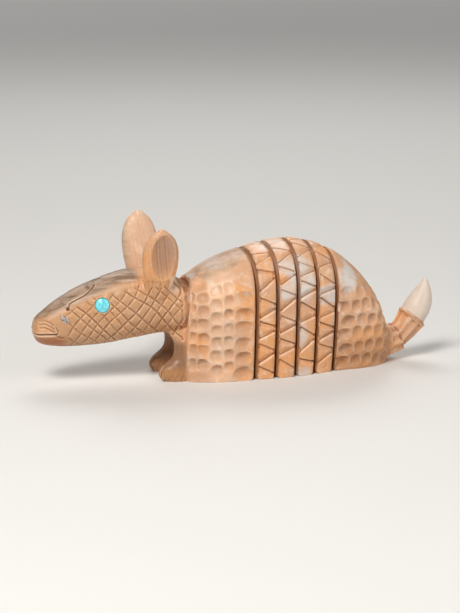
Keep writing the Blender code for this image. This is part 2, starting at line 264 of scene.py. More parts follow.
for piece in stone_pieces:
    make_skin(piece, rubs=36)
    print(piece.name, len(piece.data.vertices), "vertices")

# %% [markdown]
# ## Lips
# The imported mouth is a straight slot. Real lips nearly meet: the stone beside the slot is swelled a little,
# so that only a thin line is left, and it droops towards the corner.

# %% Swell the lips
LIP = 0.15 * MM


def lip_share(points):
    gap = np.abs(points[:, 2] - MOUTH_HEIGHT)
    return ramp(gap, 0.75 * MM, 0.3 * MM) * ramp(points[:, 0], low.x + 5.2 * MM, low.x + 4.4 * MM)


not_ahead = ramp(normals_of(head_end)[:, 0], -0.85, -0.5)
paint_group(head_end, "lips", lip_share(points_of(head_end)) * not_ahead)
apply_modifier(head_end, "DISPLACE", strength=LIP, mid_level=0.0, vertex_group="lips")

# %% [markdown]
# ## Tool marks as painted depth
# Each mark on this carving is a cut of a known shape: a ball burr leaves a shallow bowl, a knife-edged disc
# leaves a V. Each kind is worked out as a depth at every vertex, painted as a vertex group, and pushed in
# along the normals by one Displace modifier. Where two cuts meet, the deeper one wins.

# %% Bowls and V cuts
DEEPEST = 0.8 * MM


def bowls(points, places, depth):
    """Depth of burr bowls, steepest at the top. A place is centre, half length, half width, strength."""
    depths = np.zeros(len(points))
    for centre, long, wide, strength in places:
        near = np.flatnonzero(np.abs(points[:, 0] - centre.x) < long)
        offset = points[near] - np.array(centre)
        across = np.hypot(offset[:, 1], offset[:, 2]) / wide
        inside = 1 - np.abs(offset[:, 0] / long) ** 2.2 - across**2.2
        steep = 1 + 0.45 * np.clip(offset[:, 2] / wide, -1, 1)
        depths[near] = np.maximum(depths[near], depth * strength * steep * np.clip(inside, 0, 1))
    return depths


def v_cuts(flat, lines, depth, narrow, shallow):
    """Depth of straight cuts on flat coordinates: steep on one side, a long slope on the other."""
    depths = np.zeros(len(flat))
    for start, end, strength in lines:
        start, end = np.array(start), np.array(end)
        run = end - start
        length = np.hypot(*run)
        along = (flat - start) @ run / length
        beside = (flat - start) @ np.array((-run[1], run[0])) / length
        beyond = np.maximum(np.maximum(-along, along - length), 0)
        reach = np.where(beside < 0, narrow, shallow)
        depths = np.maximum(depths, depth * strength * (1 - np.abs(beside) / reach - beyond / narrow))
    return depths


# %% [markdown]
# ## Front shield: columns of burr bowls
# Four columns of round bowls run up each side, and a fifth column of wide ones stands beside the first saw
# cut. They get shallower towards the crown, which is left smooth. Rows are spaced along the real arc of the
# section, so they don't crowd on the steep wall.

# %% Bowls of the front shield
ROW = 2.95 * MM
rng = np.random.default_rng(7)


def column(x, side, row, start, half_long, half_wide, top):
    """Bowls up one side of the section at x, from the hem to a height above which they fade out."""
    points, lengths = section_arc(x, side)
    places = []
    reach = lengths[-1] - start
    while reach > 0:
        spot = reach + rng.uniform(-0.2, 0.2) * MM
        index = int(np.searchsorted(lengths, spot))
        place = points[min(index, len(points) - 1)]
        strength = 1 - float(ramp(np.array(place.z), top - 4.5 * MM, top + 1.5 * MM))
        jitter = Vector((rng.uniform(-0.15, 0.15) * MM, 0, 0))
        size = rng.uniform(0.92, 1.08)
        if strength > 0.05:
            press = strength * rng.uniform(0.8, 1.1)
            places.append((place + jitter, half_long * size, half_wide * size, press))
        reach -= row
    return places


WIDE_COLUMN = (12.3, 3.3, 1.9, 2.2, 1.62, 22.0)
COLUMNS = ((9.1, 2.6, 1.3), (6.5, 2.2, 1.45), (3.6, 2.7, 1.5), (1.55, 2.3, 1.15))
front_bowls = []
for side in (-1, 1):
    back, *rest = (size * MM for size in WIDE_COLUMN)
    front_bowls += column(SHELL_FRONT + back, side, *rest)
    for column_sizes in COLUMNS:
        back, start, long = (size * MM for size in column_sizes)
        front_bowls += column(SHELL_FRONT + back, side, ROW, start, long, 1.5 * MM, 22.5 * MM)
print(len(front_bowls), "bowls on the front shield")

# %% [markdown]
# ## Rear shield: rows that wrap round the rump
# Behind the last cut the rows are level, and they run round the back from one side to the other. The first
# bowl of each row is wide, the rest are round, and each row is shifted against the last like bricks.

# %% Bowls of the rear shield
REAR_ROW = 3.2 * MM


def lift():
    return Vector((0, 0, rng.uniform(-0.35, 0.35) * MM))


def level_row(height, offset):
    """Bowls along one level of the rear shield. Rays turn about a point behind the last cut."""
    middle = Vector((cuts[4] + 4.5 * MM, 0, height))
    points = []
    for step in range(181):
        angle = math.radians(-150 + 300 * step / 180)
        place = hit(middle, (math.cos(angle), math.sin(angle), 0))
        if place is not None and place.x > cuts[4] + CUT_WIDTH / 2:
            points.append(place)
    lengths = np.cumsum([0] + [(b - a).length for a, b in zip(points, points[1:])])
    places = []
    wide = 3.6 * MM
    for side in (1, -1):
        spot = wide / 2 + offset
        half_long = 1.95 * MM
        while spot < lengths[-1] / 2:
            measure = spot if side > 0 else lengths[-1] - spot
            place = points[min(int(np.searchsorted(lengths, measure)), len(points) - 1)]
            strength = 1 - float(ramp(np.array(place.z), 15.5 * MM, 21.0 * MM))
            by_tail = place.x > TAIL_ROOT
            if strength > 0.05 and not by_tail:
                press = strength * rng.uniform(0.8, 1.1) * (1.3 if half_long > 1.5 * MM else 1.0)
                places.append((place + lift(), half_long, 1.5 * MM, press))
            spot += half_long + 1.35 * MM
            half_long = 1.3 * MM
    return places


rear_bowls = []
for number in range(7):
    rear_bowls += level_row(2.0 * MM + REAR_ROW * number, (number % 2) * 0.7 * MM)
print(len(rear_bowls), "bowls on the rear shield")

# %% [markdown]
# ## Bands: a zigzag of chip cuts
# Each band carries straight chip cuts that slope one way, then the other, from edge to edge. They leave a
# row of triangles. The section is unrolled for this: a vertex's second coordinate is its arc length down
# from the crest, read from a table by its angle.

# %% Zigzag lines
ZIG_DROP = 2.0 * MM
ZIG_GAP = 1.0 * MM
UNROLL_HEIGHT = 0.011


def unrolled(points, x):
    """Flat coordinates of vertices near the plane at x: along the animal, and down from the crest."""
    table, lengths = section_arc(x, 1, middle=UNROLL_HEIGHT)
    angles = [math.atan2(p.y, p.z - UNROLL_HEIGHT) for p in table]
    angle = np.arctan2(np.abs(points[:, 1]), points[:, 2] - UNROLL_HEIGHT)
    return np.stack([points[:, 0], np.interp(angle, angles, lengths)], axis=1), lengths[-1]


def zigzag(ahead, behind, total, shift):
    lines = []
    reach = 0.5 * MM + shift
    forwards = False
    while reach < total - 1.6 * MM:
        drop = ZIG_DROP * rng.uniform(0.55, 1.3)
        ends = (ahead, behind) if forwards else (behind, ahead)
        slip = rng.uniform(-0.35, 0.1, 2) * MM * (1 if forwards else -1)
        start, end = (ends[0] - slip[0], reach), (ends[1] + slip[1], min(reach + drop, total))
        lines.append((start, end, rng.uniform(0.65, 1.05)))
        reach += drop + ZIG_GAP * rng.uniform(0.6, 1.4)
        forwards = not forwards
    return lines


def band_depths(piece, number):
    points = points_of(piece)
    ahead, behind = cuts[number] + 0.45 * MM, cuts[number + 1] - 0.45 * MM
    flat, total = unrolled(points, (ahead + behind) / 2)
    depths = np.zeros(len(points))
    for side in (-1, 1):
        lines = zigzag(ahead, behind, total, (number % 2) * 1.3 * MM + (0.4 * MM if side > 0 else 0))
        cut = v_cuts(flat, lines, 0.50 * MM, 0.32 * MM, 1.1 * MM)
        depths = np.where(points[:, 1] * side > 0, np.maximum(depths, cut), depths)
    outside = ramp(np.abs(points[:, 0] - cuts[number]), 0.3 * MM, 0.42 * MM)
    outside *= ramp(np.abs(points[:, 0] - cuts[number + 1]), 0.3 * MM, 0.42 * MM)
    return depths * outside


def rounded_edges(points):
    """Both edges of every saw cut are rubbed round, which gives each band its slight crown."""
    depths = np.zeros(len(points))
    for x in cuts:
        gap = np.abs(points[:, 0] - x)
        depths = np.maximum(depths, 0.3 * MM * (1 - ramp(gap, 0.25 * MM, 1.2 * MM)))
    return depths


# %% [markdown]
# ## Head: crossing knife lines, lips and whisker folds
# Two families of slanting lines cross on the cheeks and neck and leave diamond scales. They are drawn on
# the side view, and fade where the cheek turns under the jaw or over the brow. Short curved folds run back
# from the muzzle. A natural crack climbs the left cheek, from a small pit.

# %% Scale lines
SCALE_LEFT = low.x


def side_view(points):
    """Distance behind the nose, and height: the side view of the head."""
    return np.stack([points[:, 0] - SCALE_LEFT, points[:, 2]], axis=1)


def line_family(flat, slope_degrees, pitch, shift, wander):
    """Distance to the nearest of many slanting lines, and its pressure. Each wanders and slips a little."""
    slope = math.radians(slope_degrees)
    along, up = flat[:, 0] / MM, flat[:, 1] / MM
    waves = np.sin(along / 1.9 + slope * 3) + np.sin(up / 1.4 + slope) + 1.6 * np.sin(along / 4.3 + up / 5)
    bend = wander * waves
    across = -flat[:, 0] * math.sin(slope) + flat[:, 1] * math.cos(slope) + bend + shift
    number = np.floor(across / pitch + 0.5).astype(int)
    slips, pressures = rng.uniform(-0.2, 0.2, 64) * pitch, rng.uniform(0.45, 1.1, 64)
    return np.abs(across - number * pitch - slips[number % 64]), pressures[number % 64]


def brow_height(along):
    """Height of the line that the scales stop at, under the smooth top of the head."""
    places = np.array((6.0, 12.2, 16.3, 19.8, 22.0, 26.5, 29.0, 32.5)) * MM
    heights = np.array((16.2, 19.2, 20.1, 20.9, 21.6, 21.2, 22.2, 20.5)) * MM
    return np.interp(along, places, heights)


def scale_depths(points, normals):
    flat = side_view(points)
    rising, hard = line_family(flat, 52, 2.1 * MM, 0.2 * MM, 0.20 * MM)
    falling, firm = line_family(flat, -43, 1.95 * MM, 0.9 * MM, 0.24 * MM)
    cut = np.maximum((1 - rising / (0.30 * MM)) * hard, (1 - falling / (0.30 * MM)) * firm)
    pillow = 1 - np.minimum(rising, falling) / (0.95 * MM)
    depths = 0.30 * MM * np.clip(cut, 0, 1) + 0.12 * MM * np.clip(pillow, 0, 1) ** 1.5
    area = ramp(brow_height(flat[:, 0]) - points[:, 2], -0.2 * MM, 0.5 * MM)
    area *= ramp(flat[:, 0], 6.0 * MM, 7.4 * MM) * ramp(SHELL_FRONT + 0.3 * MM - points[:, 0], 0, 0.4 * MM)
    area *= ramp(np.abs(normals[:, 1]), 0.30, 0.55)
    area *= (points[:, 2] > 9.0 * MM) | (points[:, 0] < SHELL_FRONT - 6.5 * MM)
    area *= np.abs(points[:, 1]) < 7.6 * MM
    for eye in EYE:
        area *= ramp(np.linalg.norm(points - np.array(eye), axis=1), 1.75 * MM, 2.2 * MM)
    return np.clip(depths, 0, None) * area


# %% Muzzle folds and the crack
FOLDS = (
    ((1.0, 14.4), (1.9, 14.6), (2.9, 14.2), (3.6, 13.6)),
    ((0.9, 13.7), (1.9, 13.9), (3.0, 13.4), (3.8, 12.8)),
    ((1.0, 13.0), (2.0, 13.1), (3.1, 12.6), (3.9, 12.1)),
    ((4.2, 13.1), (4.6, 12.3), (4.3, 11.6)),
    ((4.4, 11.2), (5.2, 10.6), (5.7, 10.7)),
)
CRACK = ((6.9, 16.6), (7.3, 17.9), (8.8, 18.7), (10.9, 19.7), (11.8, 20.4), (13.0, 21.5))


def path_lines(path):
    return [(np.array(a) * MM, np.array(b) * MM, 1.0) for a, b in zip(path, path[1:])]


def crack_depths(points):
    """The natural crack over the left eye, with the pit that it starts from."""
    flat = side_view(points)
    crack = v_cuts(flat, path_lines(CRACK), 0.3 * MM, 0.14 * MM, 0.16 * MM)
    from_pit = np.hypot(flat[:, 0] - 6.9 * MM, flat[:, 1] - 16.9 * MM)
    pit = 0.45 * MM * np.clip(1 - from_pit / (0.5 * MM), 0, 1)
    there = (points[:, 0] < SHELL_FRONT - 8 * MM) & (points[:, 1] < 0)
    return np.where(there, np.maximum(crack, pit), 0)


def muzzle_depths(points):
    flat = side_view(points)
    depths = np.zeros(len(points))
    for fold in FOLDS:
        depths = np.maximum(depths, v_cuts(flat, path_lines(fold), 0.22 * MM, 0.24 * MM, 0.40 * MM))
    on_head = points[:, 0] < SHELL_FRONT - 8 * MM
    return np.where(on_head, np.maximum(depths, crack_depths(points)), 0)


# %% [markdown]
# ## Tail: flutes
# The two lower lengths of the tail are fluted with the side of a disc, and the last one is left as a smooth
# point. Flutes are found by angle about the tail's bent axis.

# %% Flutes of the tail
TAIL_AXIS = np.array(((-12.5, 4.2), (-8.0, 5.0), (-4.6, 9.2), (-2.9, 13.0), (-1.9, 18.0))) * MM
FLUTES = 9


def tail_depths(points):
    flat = np.stack([points[:, 0] - high.x, points[:, 2]], axis=1)
    best = np.full(len(points), np.inf)
    share, lift = np.zeros(len(points)), np.zeros(len(points))
    for number, (start, end) in enumerate(zip(TAIL_AXIS, TAIL_AXIS[1:])):
        run = end - start
        length = np.hypot(*run)
        along = np.clip((flat - start) @ run / length, 0, length)
        gap = flat - start - along[:, None] * run / length
        distance = np.hypot(gap[:, 0], gap[:, 1])
        nearer = distance < best
        best = np.where(nearer, distance, best)
        share = np.where(nearer, number + along / length, share)
        lift = np.where(nearer, gap @ np.array((-run[1], run[0])) / length, lift)
    angle = np.arctan2(points[:, 1], lift)
    flute = np.abs(np.cos(angle * FLUTES / 2)) ** 1.5
    tail = ramp(points[:, 0], high.x - 10.6 * MM, high.x - 9.8 * MM)
    faded = np.where(share < 1.9, 1.0, 0.12)
    return 0.42 * MM * flute * tail * faded


# %% [markdown]
# ## Ears: grinding strokes in the hollows
# The hollow of each ear was ground with upright strokes of a small burr, and the strokes are still there.
# They run down the root as well.

# %% Strokes in the ears
EARS = ((-1, SHELL_FRONT - 4.5 * MM, 33.1 * MM), (1, SHELL_FRONT - 5.65 * MM, 34.5 * MM))
HOLLOW_FOOT = 22.6 * MM
ROOT_PLACES = (
    ((23.4, 24.5), (23.9, 19.6)),
    ((24.5, 22.6), (24.6, 19.5)),
    ((26.3, 21.9), (26.0, 19.6)),
    ((28.4, 22.2), (27.8, 19.8)),
)
ROOT_FOLDS = [line for place in ROOT_PLACES for line in path_lines(place)]


def hollow_share(points, normals):
    """How far inside the hollow of an ear a vertex lies: 0 at the rim, 1 in the middle."""
    share = np.zeros(len(points))
    for side, middle, tip in EARS:
        half = (tip - HOLLOW_FOOT) / 2
        across = (points[:, 0] - middle) / (3.1 * MM)
        up = (points[:, 2] - HOLLOW_FOOT - half) / half
        inside = np.clip(1.0 - across**2 - up**2, 0, 1) * (points[:, 1] * side > 0)
        share = np.maximum(share, inside * ramp(normals[:, 1] * side, 0.15, 0.5))
    return np.sqrt(share)


def ear_depths(points, normals):
    across = points[:, 0] + 0.12 * points[:, 2]
    stroke = np.sin(across * math.tau / (0.62 * MM)) + 0.7 * np.sin(across * math.tau / (0.93 * MM) + 1.1)
    folds = v_cuts(side_view(points), ROOT_FOLDS, 0.20 * MM, 0.40 * MM, 0.7 * MM)
    folds *= ramp(np.abs(points[:, 1]), 2.0 * MM, 3.5 * MM) * ramp(points[:, 2], 19.2 * MM, 20.2 * MM)
    folds *= ramp(points[:, 2], 24.0 * MM, 22.0 * MM)
    root = ramp(points[:, 2], 19.0 * MM, 20.5 * MM) * ramp(np.abs(normals[:, 1]), 0.3, 0.7)
    root *= ramp(np.abs(points[:, 0] - SHELL_FRONT + 5.6 * MM), 4.2 * MM, 3.4 * MM)
    area = np.maximum(hollow_share(points, normals), 0.55 * root)
    return np.maximum(np.clip(stroke, 0, 2) * 0.07 * MM * area, folds)


# %% Strokes down the legs


def leg_depths(points):
    across = points[:, 0] * 0.8 + points[:, 1] * 0.9 - points[:, 2] * 0.25
    stroke = np.sin(across * math.tau / (0.95 * MM)) + 0.6 * np.sin(across * math.tau / (1.5 * MM) + 0.7)
    area = ramp(points[:, 2], 9.5 * MM, 8.0 * MM) * ramp(points[:, 0], SHELL_FRONT, SHELL_FRONT - 0.5 * MM)
    return np.clip(stroke, 0, 2) * 0.09 * MM * area


# %% Put the marks of each length together
grain = bpy.data.textures.new("hand_ground", "CLOUDS")
grain.noise_scale = 4.5 * MM
grain.noise_depth = 2


def depths_of(piece):
    """All the marks of one length of stone, as depths at its vertices."""
    points, normals = points_of(piece), normals_of(piece)
    edges = rounded_edges(points)
    if piece in bands:
        return band_depths(piece, bands.index(piece)) + edges
    if piece is tail_end:
        return np.maximum(bowls(points, rear_bowls, 0.56 * MM), tail_depths(points)) + edges
    on_shell = ramp(points[:, 0], SHELL_FRONT, SHELL_FRONT + 0.4 * MM)
    outward = points * (0, 1, 1) - (0, 0, 10 * MM)
    facing = np.einsum("ij,ij->i", outward, normals) / np.linalg.norm(outward, axis=1)
    depths = bowls(points, front_bowls, 0.60 * MM) * on_shell * ramp(facing, 0.35, 0.7)
    ears = ear_depths(points, normals)
    cut = [depths, scale_depths(points, normals), muzzle_depths(points), ears, leg_depths(points)]
    return np.maximum.reduce(cut) + edges

# %% [markdown]
# ## What the finish has to know
# Handled edges go pale and shiny, and polishing dust stays brown in the cuts. The same numbers also place
# painted highlights on bulging edges and painted shade in cuts, hollows and ears. So each vertex keeps four
# numbers for the materials: how deep a tool went there, how far the surface bulges, whether it lies in the
# hollow of an ear, and whether it lies in the crack. They are measured on the fine skin, before faces
# merge.

# %% Measure bulge, and keep the numbers


def keep_number(piece, name, values):
    attribute = piece.data.attributes.new(name, "FLOAT", "POINT")
    attribute.data.foreach_set("value", values.astype(np.float32))


def bulge(piece, blurs=3):
    """How far each vertex stands above its neighbours, as a share of the mesh spacing, slightly blurred."""
    points, normals = points_of(piece), normals_of(piece)
    ends = np.empty(len(piece.data.edges) * 2, np.int32)
    piece.data.edges.foreach_get("vertices", ends)
    first, second = ends.reshape(-1, 2).T
    count = np.maximum(np.bincount(ends, minlength=len(points)), 1)

    def around(values):
        total = np.bincount(first, values[second], len(points))
        total += np.bincount(second, values[first], len(points))
        return total / count

    middle = np.stack([around(points[:, axis]) for axis in range(3)], axis=1)
    height = np.einsum("ij,ij->i", points - middle, normals) / VOXEL
    for _ in range(blurs):
        height = (height + around(height)) / 2
    return height


# %% [markdown]
# ## Into the stone
# Now the marks are pushed in. First comes the slight waviness of hand grinding, from a soft cloud texture.

# %% Work every length of stone
MOST_TRIANGLES = 190_000


def triangles(piece):
    return sum(len(face.vertices) - 2 for face in piece.data.polygons)


def work(piece):
    apply_modifier(piece, "DISPLACE", texture=grain, strength=0.16 * MM, mid_level=1.0, vertex_group="free")
    depths = depths_of(piece)
    paint_group(piece, "marks", depths / DEEPEST)
    apply_modifier(piece, "DISPLACE", strength=-DEEPEST, mid_level=0.0, vertex_group="marks")
    keep_number(piece, "worked", np.clip(depths / DEEPEST, 0, 1))
    keep_number(piece, "crack", np.clip(crack_depths(points_of(piece)) / (0.2 * MM), 0, 1))
    keep_number(piece, "bulge", bulge(piece))
    keep_number(piece, "hollow", hollow_share(points_of(piece), normals_of(piece)))


for piece in stone_pieces:
    work(piece)
    count = triangles(piece)
    if count > MOST_TRIANGLES:
        apply_modifier(piece, "DECIMATE", ratio=MOST_TRIANGLES / count)
    piece.vertex_groups.clear()
    only(piece)
    bpy.ops.object.shade_smooth()
    print(piece.name, count, "->", triangles(piece), "triangles")

bpy.data.objects.remove(blank)

# %% [markdown]
# ## Turquoise eyes
# A bead carver turns a short peg, cements it in, and rubs its end to a low dome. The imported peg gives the
# axis and the radius: its foot is the largest flat face. A cylinder is set on that axis, and its end is
# inset and lifted ring by ring along a sphere.

# %% Model the eyes


def measure_peg(node):
    """Foot centre, axis, radius and full length of a packed peg."""
    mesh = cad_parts[node].data
    flats = {}
    for face in mesh.polygons:
        flats.setdefault(tuple(round(n, 2) for n in face.normal), []).append(face)
    foot = max(flats.values(), key=lambda faces: sum(face.area for face in faces))
    axis = -foot[0].normal.normalized()
    corners = [mesh.vertices[v].co for face in foot for v in face.vertices]
    centre = (Vector(map(min, zip(*corners))) + Vector(map(max, zip(*corners)))) / 2
    radius = max((corner - centre).length for corner in corners) + 0.05 * MM
    length = max((vertex.co - centre).dot(axis) for vertex in mesh.vertices)
    return centre, axis, radius, length


def make_eye(name, node):
    foot, axis, radius, length = measure_peg(node)
    dome = 0.42 * MM
    wall = length - dome
    bpy.ops.object.select_all(action="DESELECT")
    turn = axis.to_track_quat("Z", "Y").to_euler()
    bpy.ops.mesh.primitive_cylinder_add(
        vertices=72, radius=radius, depth=wall, location=foot + axis * wall / 2, rotation=turn
    )
    eye = bpy.context.object
    eye.name = name
    only(eye)
    bpy.ops.object.transform_apply(location=True, rotation=True, scale=True)
    lift_dome(eye, foot + axis * wall, axis, radius, dome)
    bpy.ops.object.shade_smooth_by_angle(angle=math.radians(50))
    print(name, f"radius {radius / MM:.2f} mm, length {length / MM:.2f} mm")
    return eye


def lift_dome(eye, rim, axis, radius, dome, rings=9):
    """Insets and lifts the end of a peg so that it follows a sphere of the given rise."""
    ball = (radius**2 + dome**2) / (2 * dome)
    edit_all(eye)
    bpy.ops.mesh.select_all(action="DESELECT")
    bpy.ops.object.mode_set(mode="OBJECT")
    for face in eye.data.polygons:
        face.select = (face.center - rim).length < radius * 0.1
    bpy.ops.object.mode_set(mode="EDIT")
    bpy.ops.mesh.select_mode(type="FACE")
    width, height = radius, 0.0
    for ring in range(1, rings + 1):
        next_width = radius * (1 - ring / (rings + 0.6))
        next_height = dome - (ball - math.sqrt(ball**2 - next_width**2))
        bpy.ops.mesh.inset(thickness=width - next_width)
        bpy.ops.transform.translate(value=axis * (next_height - height))
        width, height = next_width, next_height
    bpy.ops.mesh.poke()
    bpy.ops.object.mode_set(mode="OBJECT")


eyes = [make_eye("left_eye_inlay", "left_eye"), make_eye("right_eye_inlay", "right_eye")]
ripple = bpy.data.textures.new("bead_rubbing", "CLOUDS")
ripple.noise_scale = 1.3 * MM
sharp = {"limit_method": "ANGLE", "angle_limit": math.radians(40)}
for eye in eyes:
    apply_modifier(eye, "BEVEL", width=0.09 * MM, segments=3, **sharp)
    apply_modifier(eye, "DISPLACE", texture=ripple, strength=0.07 * MM, mid_level=1.0)

# %% [markdown]
# ## Writing a finish as sums
# A material is a graph of nodes, and long sums are hard to read as nodes. A small class wraps one socket,
# so that a + b * 2 adds the Math nodes by itself. One method makes every other kind of node.

# %% The class for sums, and the class for a finish


class Number:
    """One socket. Each operator adds a Math node."""

    def __init__(self, tree, socket):
        self.tree, self.socket = tree, socket

    def maths(self, operation, *values):
        node = self.tree.nodes.new("ShaderNodeMath")
        node.operation = operation
        for entry, value in zip(node.inputs, values):
            connect(self.tree, entry, value)
        return Number(self.tree, node.outputs[0])

    def __add__(self, other):
        return self.maths("ADD", self, other)

    def __sub__(self, other):
        return self.maths("SUBTRACT", self, other)

    def __rsub__(self, other):
        return self.maths("SUBTRACT", other, self)

    def __mul__(self, other):
        return self.maths("MULTIPLY", self, other)

    def __truediv__(self, other):
        return self.maths("DIVIDE", self, other)

    def __pow__(self, other):
        return self.maths("POWER", self, other)

    def most(self, other):
        return self.maths("MAXIMUM", self, other)

    def least(self, other):
        return self.maths("MINIMUM", self, other)

    def size(self):
        return self.maths("ABSOLUTE", self)

    __radd__ = __add__
    __rmul__ = __mul__


def connect(tree, entry, value):
    if isinstance(value, Number):
        tree.links.new(value.socket, entry)
    elif isinstance(value, (tuple, list)) and entry.type == "RGBA":
        entry.default_value = (*value, 1.0)
    else:
        entry.default_value = value


class Finish:
    """A material and its nodes. Lengths are in millimetres on Object coordinates."""

    def __init__(self, name):
        self.material = bpy.data.materials.new(name)
        self.material.use_nodes = True
        self.tree = self.material.node_tree
        self.shader = self.tree.nodes["Principled BSDF"]
        self.metres = self.node("ShaderNodeTexCoord", {}, {}, "Object")
        self.place = self.vector("SCALE", self.metres, Scale=1 / MM)

    def node(self, kind, settings, entries, output=0):
        node = self.tree.nodes.new(kind)
        for name, value in settings.items():
            setattr(node, name, value)
        for name, value in entries.items():
            connect(self.tree, node.inputs[name], value)
        return Number(self.tree, node.outputs[output])

    def vector(self, operation, *values, **named):
        entries = {**dict(enumerate(values)), **named}
        return self.node("ShaderNodeVectorMath", {"operation": operation}, entries)

    def axes(self, vector):
        split = self.tree.nodes.new("ShaderNodeSeparateXYZ")
        self.tree.links.new(vector.socket, split.inputs[0])
        return [Number(self.tree, output) for output in split.outputs]

    def noise(self, vector, scale, detail=3.0, roughness=0.55, distortion=0.0):
        entries = {"Vector": vector, "Scale": scale, "Detail": detail, "Roughness": roughness}
        return self.node("ShaderNodeTexNoise", {}, {**entries, "Distortion": distortion})

    def ease(self, value, low, high):
        """0 at low, 1 at high, eased between them."""
        entries = {"Value": value, "From Min": low, "From Max": high}
        return self.node("ShaderNodeMapRange", {"interpolation_type": "SMOOTHSTEP"}, entries)

    def mix(self, share, colour, other):
        settings = {"data_type": "RGBA", "clamp_factor": True}
        return self.node("ShaderNodeMix", settings, {0: share, 6: colour, 7: other}, 2)

    def attribute(self, name):
        return self.node("ShaderNodeAttribute", {"attribute_name": name}, {}, "Fac")

    def bump(self, height, strength, distance):
        entries = {"Strength": strength, "Distance": distance, "Height": height}
        return self.node("ShaderNodeBump", {}, entries)

    def feed(self, name, value):
        connect(self.tree, self.shader.inputs[name], value)


# %% [markdown]
# ## The stone
# The block is a banded travertine: peach and orange, with cream zones, cool grey-white veins and a brown,
# layered cap along the head. Veins pass right through a block, so their places are given on the side view
# and bent by noise. The cuts are painted burnt orange, partly as polishing dust and partly as painted shade,
# and the edges are painted pale, partly as rubbed wear and partly as painted highlight.

# %% Colours of the stone
PEACH, ORANGE, CREAM = (0.66, 0.36, 0.20), (0.80, 0.37, 0.14), (0.84, 0.62, 0.45)
TAN, UMBER, CUT_DUST_AND_SHADE = (0.50, 0.265, 0.12), (0.30, 0.16, 0.09), (0.31, 0.125, 0.045)
CHALK, IVORY, CUT_FLOOR_SHADE = (0.68, 0.63, 0.59), (0.71, 0.65, 0.57), (0.42, 0.16, 0.042)
CAP, DARK_CAP, EAR_HOLLOW_SHADE = (0.36, 0.25, 0.17), (0.17, 0.095, 0.05), (0.37, 0.215, 0.15)
LEG_BROWN_AND_SHADE, TOE, QUARTZ, FROST = (0.22, 0.10, 0.045), (0.42, 0.19, 0.065), (0.16, 0.125, 0.115), (0.52, 0.47, 0.45)

# places on the side view in millimetres: distance along, height, half length, half height, strength
VEINS = (
    (7.9, 19.4, 2.2, 2.2, 0.85),
    (11.0, 21.8, 3.0, 4.6, 1.0),
    (17.2, 17.8, 2.2, 2.4, 1.0),
    (22.8, 20.6, 2.3, 3.6, 1.0),
    (8.5, 24.6, 3.6, 1.8, 0.7),
    (6.5, 28.2, 4.0, 1.3, 0.5),
    (-9.0, 25.0, 5.0, 1.3, 0.35),
    (11.8, 9.6, 1.3, 3.2, 0.8),
    (12.2, 0.8, 2.2, 1.5, 0.8),
    (-12.0, 22.6, 2.0, 0.9, 0.7),
)


def vein_mask(finish, x, z):
    """1 inside the veined places, bent and broken up by noise."""
    bend = finish.noise(finish.place, 0.22, 4.0, 0.6) * 8.0 - 4.0
    rise = finish.noise(finish.place, 0.31, 3.0, 0.6) * 7.0 - 3.5
    ragged = finish.noise(finish.place, 1.5, 3.0, 0.6) * 2.4 - 1.2
    broken = finish.ease(finish.noise(finish.place, 0.36, 4.0, 0.55, 0.8), 0.34, 0.60)
    mask = 0.0
    for along, height, half_long, half_high, strength in VEINS:
        small = min(0.6, half_high / 5.0)
        across = (x + bend * small - along + ragged * (1 - small)) / half_long
        up = (z + rise * small - height - ragged * (0.7 - small * 0.7)) / half_high
        inside = finish.ease(across * across + up * up, 1.5, 0.3) * strength
        mask = inside if mask == 0.0 else mask.most(inside)
    return mask * (broken * 0.45 + 0.55)


